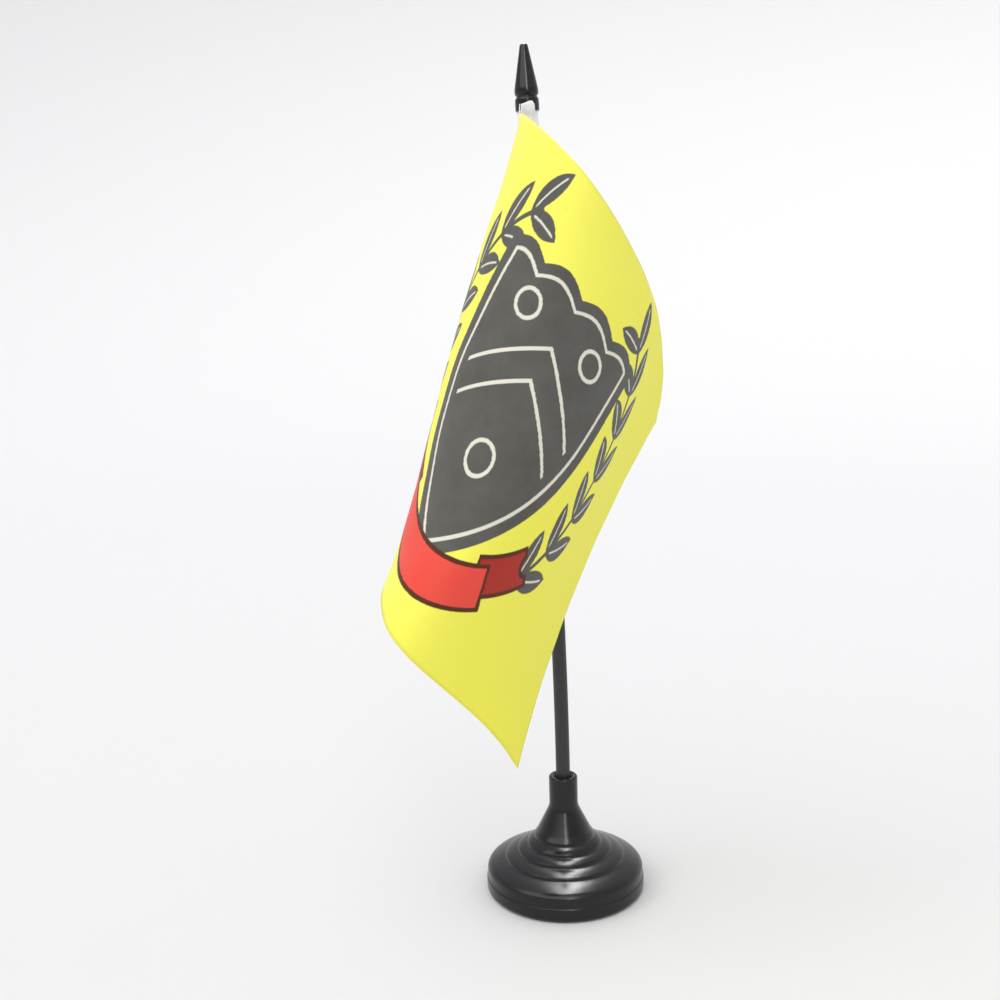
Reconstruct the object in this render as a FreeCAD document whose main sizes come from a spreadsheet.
"""Desk flag stand: a weighted round base, a slim pole in its socket, and a small flag on a sleeve.

Millimetres, +Z up. The origin is the centre of the base where it meets the desk. The flag hangs
to the -X and -Y side of the pole, and the pole bows a little towards -X.
"""
import FreeCAD, Part
import Sketcher
import os
from math import cos, radians, sin

doc = FreeCAD.newDocument("desk_flag_stand")

# ---------------------------------------------------------------- sizes
# One row per size: alias, value, what it is. Angles are in degrees, all else in millimetres.
SIZES = (
    ("bead_diameter", 58.8, "base, across the bead above its foot"),
    ("foot_diameter", 57.0, "base, across its foot"),
    ("rim_diameter", 58.0, "base, across the plain wall over the bead"),
    ("shell_gap", 0.3, "height of the shell's foot above the desk"),
    ("bead_low", 1.4, "height where the bead starts"),
    ("bead_high", 5.2, "height where the bead ends"),
    ("wall_start", 5.8, "height where the plain wall starts"),
    ("wall_height", 9.2, "height of the plain wall"),
    ("shoulder_diameter", 55.8, "inside of the rounded shoulder"),
    ("shoulder_height", 10.5, "top of the rounded shoulder"),
    ("riser_height", 1.1, "upright face between two rings"),
    ("riser_draft", 0.3, "lean of that upright face"),
    ("ring1_diameter", 44.6, "first ring, at the foot of its riser"),
    ("ring1_height", 12.6, "height of that riser's foot"),
    ("ring2_diameter", 35.4, "second ring"),
    ("ring2_height", 15.2, "height of its riser's foot"),
    ("ring3_diameter", 28.2, "third ring"),
    ("ring3_height", 17.6, "height of its riser's foot"),
    ("ring4_diameter", 22.6, "fourth ring"),
    ("ring4_height", 20.4, "height of its riser's foot"),
    ("flare_diameter", 20.0, "foot of the cone under the collar"),
    ("flare_start", 23.0, "height of the cone's foot"),
    ("flare_end", 32.4, "height where the cone meets the collar"),
    ("collar_diameter", 10.6, "collar round the pole"),
    ("collar_top", 44.0, "height of the collar's mouth"),
    ("collar_chamfer", 0.5, "outer edge of the mouth"),
    ("mouth_diameter", 7.6, "countersink of the mouth"),
    ("mouth_depth", 1.4, "depth of that countersink"),
    ("socket_floor", 8.0, "height of the socket's floor"),
    ("boss_diameter", 14.0, "boss under the socket"),
    ("boss_foot", 3.0, "height of the boss's lower end"),
    ("cavity_diameter", 51.0, "hollow that holds the ballast"),
    ("cavity_ceiling", 8.2, "height of the hollow's ceiling"),
    ("recess_diameter", 54.0, "recess for the foot pad"),
    ("pad_thickness", 1.5, "foot pad"),
    ("pad_clearance", 0.15, "gap round the foot pad"),
    ("ballast_clearance", 0.3, "gap round the ballast, inside and outside"),
    ("ballast_thickness", 6.4, "steel ballast ring"),
    ("pole_diameter", 5.2, "pole"),
    ("socket_clearance", 0.05, "radial gap of the pole in its socket"),
    ("floor_clearance", 0.1, "gap under the pole's foot"),
    ("bend_radius", 2240.0, "radius of the pole's bow"),
    ("bend_angle", 2.1, "angle of the bow"),
    ("pole_chamfer", 0.4, "chamfer on the pole's ends"),
    ("hoist_length", 140.0, "flag, along the pole"),
    ("fly_length", 210.0, "flag, away from the pole"),
    ("hoist_start", 14.0, "flag's lower edge, above the end of the bow"),
    ("sleeve_clearance", 0.08, "radial gap of the sleeve on the pole"),
    ("sleeve_wall", 0.6, "wall of the sleeve, two layers of cloth"),
    ("sleeve_extra", 1.0, "sleeve that stands above the flag"),
    ("thread_diameter", 0.5, "seam of the sleeve"),
    ("thread_clearance", 0.15, "gap between the seam and the sleeve"),
    ("cloth_clearance", 0.65, "gap between the seam and the loose cloth"),
    ("cloth_thickness", 0.6, "stand-in thickness of the cloth"),
    ("skirt_diameter", 8.2, "finial, across its skirt"),
    ("skirt_height", 4.3, "finial's skirt"),
    ("waist_diameter", 6.95, "finial's waist"),
    ("waist_height", 4.8, "height of the waist in the finial"),
    ("cone_diameter", 8.16, "foot of the finial's cone"),
    ("cone_start", 5.4, "height of the cone's foot"),
    ("cone_edge", 7.0, "height where the cone's foot turns in"),
    ("tip_diameter", 2.6, "finial's flat tip"),
    ("finial_height", 21.7, "finial"),
    ("finial_bore_depth", 10.0, "finial's socket"),
    ("finial_clearance", 0.03, "radial gap of the finial on the pole"),
    ("finial_gap", 0.4, "gap between the sleeve and the finial"),
)
sheet = doc.addObject("Spreadsheet::Sheet", "Sizes")
for row, (alias, amount, meaning) in enumerate(SIZES, start=1):
    sheet.set(f"A{row}", meaning)
    sheet.set(f"B{row}", str(amount))
    sheet.setAlias(f"B{row}", alias)
doc.recompute()


def bound(words):
    """Turns bare aliases into an expression that other objects can read."""
    for alias, _, _ in sorted(SIZES, key=lambda entry: -len(entry[0])):
        words = words.replace(alias, "@" + str([entry[0] for entry in SIZES].index(alias)) + "@")
    for number, entry in enumerate(SIZES):
        words = words.replace(f"@{number}@", f"Sizes.{entry[0]}")
    return words


def size(words):
    """The value of an alias, or of a sum of aliases, in millimetres or degrees."""
    return float(sheet.evalExpression(bound(words)))


# ---------------------------------------------------------------- drawing helpers
def origin_plane(body, role):
    return next(part for part in body.Origin.OriginFeatures if part.Role == role)


def new_sketch(body, name, role):
    sketch = body.newObject("Sketcher::SketchObject", name)
    sketch.AttachmentSupport = (origin_plane(body, role), [""])
    sketch.MapMode = "FlatFace"
    return sketch


def bind(sketch, kind, *where, words):
    number = sketch.addConstraint(Sketcher.Constraint(kind, *where, size(words)))
    sketch.setExpression(f"Constraints[{number}]", bound(words))


def outline(body, name, corners):
    """A closed outline of straight lines on the XZ plane: each corner is (radius, height)."""
    sketch = new_sketch(body, name, "XZ_Plane")
    places = [FreeCAD.Vector(size(across), size(up), 0) for across, up in corners]
    for start, end in zip(places, places[1:] + places[:1]):
        sketch.addGeometry(Part.LineSegment(start, end), False)
    for number, (across, up) in enumerate(corners):
        before = (number - 1) % len(corners)
        sketch.addConstraint(Sketcher.Constraint("Coincident", before, 2, number, 1))
        for kind, words, axis in (("DistanceX", across, -2), ("DistanceY", up, -1)):
            if words == "0":
                sketch.addConstraint(Sketcher.Constraint("PointOnObject", number, 1, axis))
            else:
                bind(sketch, kind, -1, 1, number, 1, words=words)
    return sketch


def turned(name, corners):
    """A body of revolution about its own Z axis."""
    body = doc.addObject("PartDesign::Body", name)
    body.Label = name
    sketch = outline(body, name + "_outline", corners)
    turn = body.newObject("PartDesign::Revolution", name + "_turn")
    turn.Profile = sketch
    turn.ReferenceAxis = (sketch, ["V_Axis"])
    turn.Angle = 360.0
    sketch.Visibility = False
    return body


def circle_sketch(body, name, *diameters):
    sketch = new_sketch(body, name, "XY_Plane")
    for number, words in enumerate(diameters):
        disc = Part.Circle(FreeCAD.Vector(0, 0, 0), FreeCAD.Vector(0, 0, 1), size(words) / 2)
        sketch.addGeometry(disc, False)
        sketch.addConstraint(Sketcher.Constraint("Coincident", number, 3, -1, 1))
        bind(sketch, "Diameter", number, words=words)
    return sketch


# ---------------------------------------------------------------- base: shell, ballast and pad
def stepped_outline():
    """The shell's outline, from its foot over four rings and the collar to the socket and hollow."""
    corners = [
        ("foot_diameter / 2", "shell_gap"),
        ("bead_diameter / 2", "bead_low"),
        ("bead_diameter / 2", "bead_high"),
        ("rim_diameter / 2", "wall_start"),
        ("rim_diameter / 2", "wall_height"),
        ("shoulder_diameter / 2", "shoulder_height"),
    ]
    for ring in ("ring1", "ring2", "ring3", "ring4"):
        corners.append((f"{ring}_diameter / 2", f"{ring}_height"))
        corners.append((f"{ring}_diameter / 2 - riser_draft", f"{ring}_height + riser_height"))
    corners += [
        ("flare_diameter / 2", "flare_start"),
        ("collar_diameter / 2", "flare_end"),
        ("collar_diameter / 2", "collar_top - collar_chamfer"),
        ("collar_diameter / 2 - collar_chamfer", "collar_top"),
        ("mouth_diameter / 2", "collar_top"),
        ("pole_diameter / 2 + socket_clearance", "collar_top - mouth_depth"),
        ("pole_diameter / 2 + socket_clearance", "socket_floor"),
        ("0", "socket_floor"),
        ("0", "boss_foot"),
        ("boss_diameter / 2", "boss_foot"),
        ("boss_diameter / 2", "cavity_ceiling"),
        ("cavity_diameter / 2", "cavity_ceiling"),
        ("cavity_diameter / 2", "pad_thickness"),
        ("recess_diameter / 2", "pad_thickness"),
        ("recess_diameter / 2", "shell_gap"),
    ]
    return corners


base_shell = turned("base_shell", stepped_outline())

# The steel ring lies on the pad, round the boss.
ballast = turned("ballast_ring", [
    ("boss_diameter / 2 + ballast_clearance", "pad_thickness"),
    ("cavity_diameter / 2 - ballast_clearance", "pad_thickness"),
    ("cavity_diameter / 2 - ballast_clearance", "pad_thickness + ballast_thickness"),
    ("boss_diameter / 2 + ballast_clearance", "pad_thickness + ballast_thickness"),
])

# The foam pad is glued into the recess and stands a little proud, so the stand rests on it.
foot_pad = doc.addObject("Part::Cylinder", "foot_pad")
foot_pad.Label = "foot_pad"
foot_pad.setExpression("Radius", bound("recess_diameter / 2 - pad_clearance"))
foot_pad.setExpression("Height", bound("pad_thickness"))

# ---------------------------------------------------------------- pole: shank, bow and straight
# The flag's lower edge, the sleeve and the finial are placed along the pole's straight part, at
# a distance from the end of the bow. The pole ends on the floor of the finial's socket.
SLEEVE_TOP = "hoist_start + hoist_length + sleeve_extra"
FINIAL_FOOT = f"{SLEEVE_TOP} + finial_gap"
POLE_STRAIGHT = f"{FINIAL_FOOT} + finial_bore_depth"
pole = doc.addObject("PartDesign::Body", "pole")
pole.Label = "pole"
route = new_sketch(pole, "pole_route", "XZ_Plane")
bow = radians(size("bend_angle"))
bow_radius = size("bend_radius")
bow_end = FreeCAD.Vector(bow_radius * (cos(bow) - 1), size("collar_top") + bow_radius * sin(bow), 0)
up_pole = FreeCAD.Vector(-sin(bow), cos(bow), 0)
foot = FreeCAD.Vector(0, size("socket_floor + floor_clearance"), 0)
mouth = FreeCAD.Vector(0, size("collar_top"), 0)
bow_centre = FreeCAD.Vector(-bow_radius, size("collar_top"), 0)
route.addGeometry(Part.LineSegment(foot, mouth), False)
bow_circle = Part.Circle(bow_centre, FreeCAD.Vector(0, 0, 1), bow_radius)
route.addGeometry(Part.ArcOfCircle(bow_circle, 0, bow), False)
route.addGeometry(Part.LineSegment(bow_end, bow_end + up_pole * size(POLE_STRAIGHT)), False)
for point in (1, 2):
    route.addConstraint(Sketcher.Constraint("PointOnObject", 0, point, -2))
bind(route, "DistanceY", -1, 1, 0, 1, words="socket_floor + floor_clearance")
bind(route, "DistanceY", -1, 1, 0, 2, words="collar_top")
route.addConstraint(Sketcher.Constraint("Tangent", 0, 2, 1, 1))
route.addConstraint(Sketcher.Constraint("Tangent", 1, 2, 2, 1))
bind(route, "Radius", 1, words="bend_radius")
bind(route, "DistanceY", -1, 1, 1, 2, words="collar_top + bend_radius * sin(bend_angle * 1 deg)")
bind(route, "Distance", 2, words=POLE_STRAIGHT)
section = circle_sketch(pole, "pole_section", "pole_diameter")
section.setExpression("AttachmentOffset.Base.z", bound("socket_floor + floor_clearance"))
shaft = pole.newObject("PartDesign::AdditivePipe", "pole_shaft")
shaft.Profile = section
shaft.Spine = (route, ["Edge1", "Edge2", "Edge3"])
doc.recompute()
ends = [f"Edge{number}" for number, edge in enumerate(shaft.Shape.Edges, start=1)
        if edge.isClosed() and (edge.CenterOfMass.z < foot.y + 1 or edge.CenterOfMass.z > bow_end.y + 1)]
chamfer = pole.newObject("PartDesign::Chamfer", "pole_ends")
chamfer.Base = (shaft, ends)
chamfer.setExpression("Size", bound("pole_chamfer"))


def on_pole(words):
    lean = "bend_angle * 1 deg"
    across = f"-bend_radius * (1 - cos({lean})) - ({words}) * sin({lean})"
    up = f"collar_top + bend_radius * sin({lean}) + ({words}) * cos({lean})"
    return bound(f"placement(vector({across}; 0; {up}); rotation(vector(0; 1; 0); -bend_angle))")


def pole_point(distance, aside=0.0, towards=0.0):
    """A point beside the straight part: its distance from the bow, and how far it stands off."""
    return FreeCAD.Vector(bow_end.x - distance * sin(bow) + aside, towards,
                          bow_end.y + distance * cos(bow))


# ---------------------------------------------------------------- finial
finial = turned("finial", [
    ("pole_diameter / 2 + finial_clearance", "0"),
    ("skirt_diameter / 2", "0"),
    ("skirt_diameter / 2", "skirt_height"),
    ("waist_diameter / 2", "waist_height"),
    ("cone_diameter / 2", "cone_start"),
    ("cone_diameter / 2", "cone_edge"),
    ("tip_diameter / 2", "finial_height"),
    ("0", "finial_height"),
    ("0", "finial_bore_depth"),
    ("pole_diameter / 2 + finial_clearance", "finial_bore_depth"),
])
finial.setExpression("Placement", on_pole(FINIAL_FOOT))

# ---------------------------------------------------------------- flag: sleeve, seam and cloth
sleeve = doc.addObject("PartDesign::Body", "flag_sleeve")
sleeve.Label = "flag_sleeve"
inner = "pole_diameter + 2 * sleeve_clearance"
tube = circle_sketch(sleeve, "sleeve_section", inner, f"{inner} + 2 * sleeve_wall")
wrap = sleeve.newObject("PartDesign::Pad", "sleeve_wrap")
wrap.Profile = tube
wrap.setExpression("Length", bound("hoist_length + sleeve_extra"))
sleeve.setExpression("Placement", on_pole("hoist_start"))

# The cloth leaves the sleeve in a direction that turns from the lower edge to the upper one.
LEAVE_TURNS = (206.0, 225.0, 240.0)
LEAVES = tuple((cos(radians(turn)), sin(radians(turn))) for turn in LEAVE_TURNS)
HALF_TWIST = radians((LEAVE_TURNS[2] - LEAVE_TURNS[0]) / 2)
# The seam is a straight line between its ends, so its middle comes nearest to the pole.
sleeve_radius = size("pole_diameter / 2 + sleeve_clearance + sleeve_wall")
seam_reach = (sleeve_radius + size("thread_clearance + thread_diameter / 2")) / cos(HALF_TWIST)
cloth_reach = seam_reach + size("thread_diameter / 2 + cloth_clearance")
# Three rows of guide points for a flag with a fly of 210: its lower edge, its middle and its
# upper edge. Each point is how far across, towards and up it stands from its row's start.
FLY_OF_GUIDES = 210.0
GUIDES = (
    ((-36, -19, -2), (-54, -56, -5), (-50, -90, -16), (-29, -77, -43), (-15, -51, -72)),
    ((-27, -26, -3), (-23, -68, -11), (0, -77, -34), (9, -46, -63), (11, -13, -88)),
    ((-1, -41, -6), (16, -64, -27), (35, -42, -57), (44, -9, -83), (46, 24, -108)),
)


def cloth_rows():
    rows = []
    growth = size("fly_length") / FLY_OF_GUIDES
    for share, leave, guides in zip((0.0, 0.5, 1.0), LEAVES, GUIDES):
        start = size("hoist_start") + share * size("hoist_length")
        row = [pole_point(start, leave[0] * cloth_reach, leave[1] * cloth_reach)]
        for across, towards, rise in guides:
            row.append(pole_point(start) + FreeCAD.Vector(across, towards, rise) * growth)
        rows.append(row)
    return rows


def row_curve(row):
    curve = Part.BSplineCurve()
    steps = len(row) - 1
    curve.interpolate(Points=row, Parameters=[number / steps for number in range(len(row))])
    return curve


# Along the fly each row is a smooth curve, and from the lower row to the upper one the cloth is
# a parabola through the middle row.
curves = [row_curve(row) for row in cloth_rows()]
low, middle, high = (curve.getPoles() for curve in curves)
bulge = [centre * 2 - (under + over) * 0.5 for under, centre, over in zip(low, middle, high)]
surface = Part.BSplineSurface()
surface.buildFromPolesMultsKnots([low, bulge, high], [3, 3], curves[0].getMultiplicities(),
                                 [0, 1], curves[0].getKnots(), False, False, 2, curves[0].Degree)
flag_cloth = doc.addObject("Part::Feature", "flag_cloth")
flag_cloth.Label = "flag_cloth"
flag_cloth.Shape = surface.toShape().makeOffsetShape(size("cloth_thickness"), 0.001, fill=True)

# The seam runs from the sleeve's lower end to its upper end between the sleeve and the cloth.
seam_low = pole_point(size("hoist_start"), *(part * seam_reach for part in LEAVES[0]))
seam_high = pole_point(size("hoist_start + hoist_length"), *(part * seam_reach for part in LEAVES[2]))
sleeve_thread = doc.addObject("Part::Feature", "sleeve_thread")
sleeve_thread.Label = "sleeve_thread"
sleeve_thread.Shape = Part.makeCylinder(size("thread_diameter") / 2, (seam_high - seam_low).Length,
                                        seam_low, seam_high - seam_low)

# ---------------------------------------------------------------- check and write
doc.recompute()
failed = [item.Name for item in doc.Objects if {"Invalid", "Error"} & set(item.State)]
pieces = (base_shell, ballast, foot_pad, pole, finial, sleeve, sleeve_thread, flag_cloth)
for piece in pieces:
    if piece.Shape.isNull() or not piece.Shape.isValid() or len(piece.Shape.Solids) != 1:
        failed.append(piece.Label)
if failed:
    raise RuntimeError("these did not build: " + ", ".join(failed))
os.makedirs("parts", exist_ok=True)
for piece in pieces:
    piece.Shape.exportStep(f"parts/{piece.Label}.step")
    box = piece.Shape.BoundBox
    print(f"{piece.Label:14s} {piece.Shape.Volume / 1000:8.3f} cm3  "
          f"x {box.XMin:7.2f} {box.XMax:7.2f}  y {box.YMin:7.2f} {box.YMax:7.2f}  "
          f"z {box.ZMin:7.2f} {box.ZMax:7.2f}")
